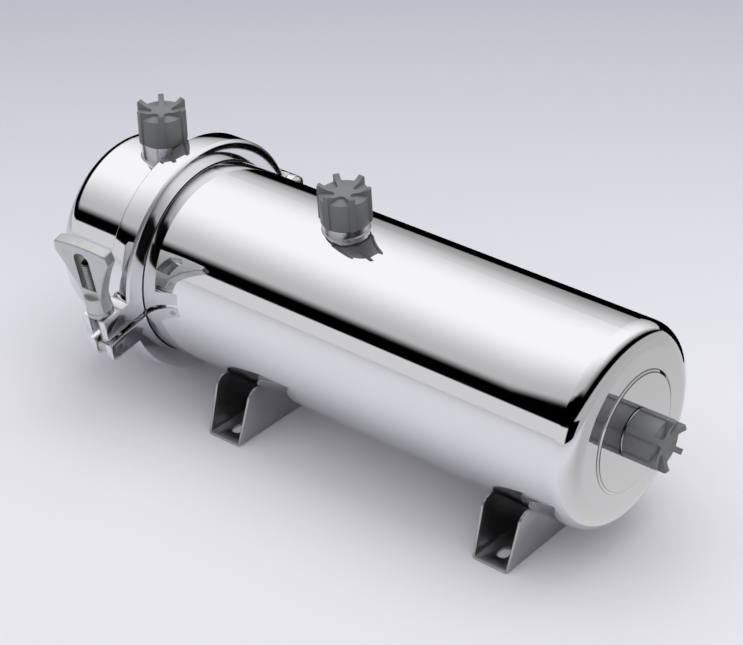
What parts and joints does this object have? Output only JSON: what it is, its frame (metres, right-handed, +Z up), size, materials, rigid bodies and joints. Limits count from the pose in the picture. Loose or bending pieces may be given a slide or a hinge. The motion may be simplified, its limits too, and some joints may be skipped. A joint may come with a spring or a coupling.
{
  "type": "ultrafiltration water filter",
  "caption": "Horizontal stainless steel filter housing on folded feet, with a hinged ring clamp and wing nut, capped threaded ports and a hollow fibre cartridge inside.",
  "frame": {"origin": "midway between the two slots of the left foot, on the base plane", "axes": "+X along the shell to its closed end, +Y to the back, where the clamp's hinge is, +Z up"},
  "size_m": [0.429, 0.1988, 0.1836],
  "materials": {
    "polished_steel": "mirror polished stainless steel",
    "satin_steel": "satin stainless steel",
    "cast_steel": "cast stainless steel, tumbled",
    "cap_plastic": "moulded, matt dark grey",
    "rubber": "matt black",
    "sleeve_plastic": "moulded, white",
    "resin": "cast, cut flat",
    "fibre": "bundle of fine white fibres"
  },
  "bodies": {
    "housing": {"shell": "polished_steel", "shell_flange": "polished_steel", "shell_port": "satin_steel", "end_port": "satin_steel", "cover": "polished_steel", "cover_flange": "polished_steel", "cover_port": "satin_steel", "clamp_gasket": "rubber", "clamp_lower_half": "polished_steel", "hinge_pin": "satin_steel", "bolt_pin": "satin_steel", "left_foot": "satin_steel", "right_foot": "satin_steel", "cartridge_sleeve": "sleeve_plastic", "front_head_ring": "sleeve_plastic", "rear_head_ring": "sleeve_plastic", "front_o_ring": "rubber", "rear_o_ring": "rubber", "front_resin_head": "resin", "rear_resin_head": "resin", "fibre_bundle": "fibre"},
    "clamp_upper": {"clamp_upper_half": "polished_steel"},
    "swing_bolt": {"swing_bolt": "satin_steel"},
    "nut_washer": {"nut_washer": "satin_steel"},
    "wing_nut": {"wing_nut": "cast_steel"},
    "shell_cap_seal": {"shell_cap_seal": "rubber"},
    "shell_cap": {"shell_cap": "cap_plastic"},
    "cover_cap_seal": {"cover_cap_seal": "rubber"},
    "cover_cap": {"cover_cap": "cap_plastic"},
    "end_cap_seal": {"end_cap_seal": "rubber"},
    "end_cap": {"end_cap": "cap_plastic"}
  },
  "joints": [
    {"name": "bolt_swing", "type": "hinge", "parent": "housing", "child": "swing_bolt", "pos_m": [-0.073, -0.0869, 0.05602], "axis": [1, 0, 0], "range_deg": [0, 110]},
    {"name": "nut_travel", "type": "slide", "parent": "swing_bolt", "child": "nut_washer", "axis": [0, -0.2164, 0.9763], "range_m": [0, 0.00626]},
    {"name": "nut_turn", "type": "hinge", "parent": "nut_washer", "child": "wing_nut", "pos_m": [-0.073, -0.0869, 0.05602], "axis": [0, -0.2164, 0.9763], "range_deg": [0, 1800]},
    {"name": "clamp_open", "type": "hinge", "parent": "housing", "child": "clamp_upper", "pos_m": [-0.073, 0.08396, 0.10311], "axis": [-1, 0, 0], "range_deg": [0, 1.75]},
    {"name": "shell_cap_lift", "type": "slide", "parent": "housing", "child": "shell_cap_seal", "axis": [0, -0.0785, 0.9969], "range_m": [0, 0.01452]},
    {"name": "shell_cap_turn", "type": "hinge", "parent": "shell_cap_seal", "child": "shell_cap", "pos_m": [0.0539, 0, 0.0845], "axis": [0, -0.0785, 0.9969], "range_deg": [0, 2880]},
    {"name": "cover_cap_lift", "type": "slide", "parent": "housing", "child": "cover_cap_seal", "axis": [0, -0.0349, 0.9994], "range_m": [0, 0.01452]},
    {"name": "cover_cap_turn", "type": "hinge", "parent": "cover_cap_seal", "child": "cover_cap", "pos_m": [-0.0995, 0, 0.0845], "axis": [0, -0.0349, 0.9994], "range_deg": [0, 2880]},
    {"name": "end_cap_lift", "type": "slide", "parent": "housing", "child": "end_cap_seal", "axis": [1, 0, 0], "range_m": [0, 0.01452]},
    {"name": "end_cap_turn", "type": "hinge", "parent": "end_cap_seal", "child": "end_cap", "pos_m": [0.27, 0, 0.0845], "axis": [1, 0, 0], "range_deg": [0, 2880]}
  ],
  "couplings": [
    {"joint": "nut_travel", "follows": "nut_turn", "m_per_rad": 0.00019894},
    {"joint": "clamp_open", "follows": "nut_turn", "ratio": 0.00095},
    {"joint": "shell_cap_lift", "follows": "shell_cap_turn", "m_per_rad": 0.00028871},
    {"joint": "cover_cap_lift", "follows": "cover_cap_turn", "m_per_rad": 0.00028871},
    {"joint": "end_cap_lift", "follows": "end_cap_turn", "m_per_rad": 0.00028871}
  ]
}
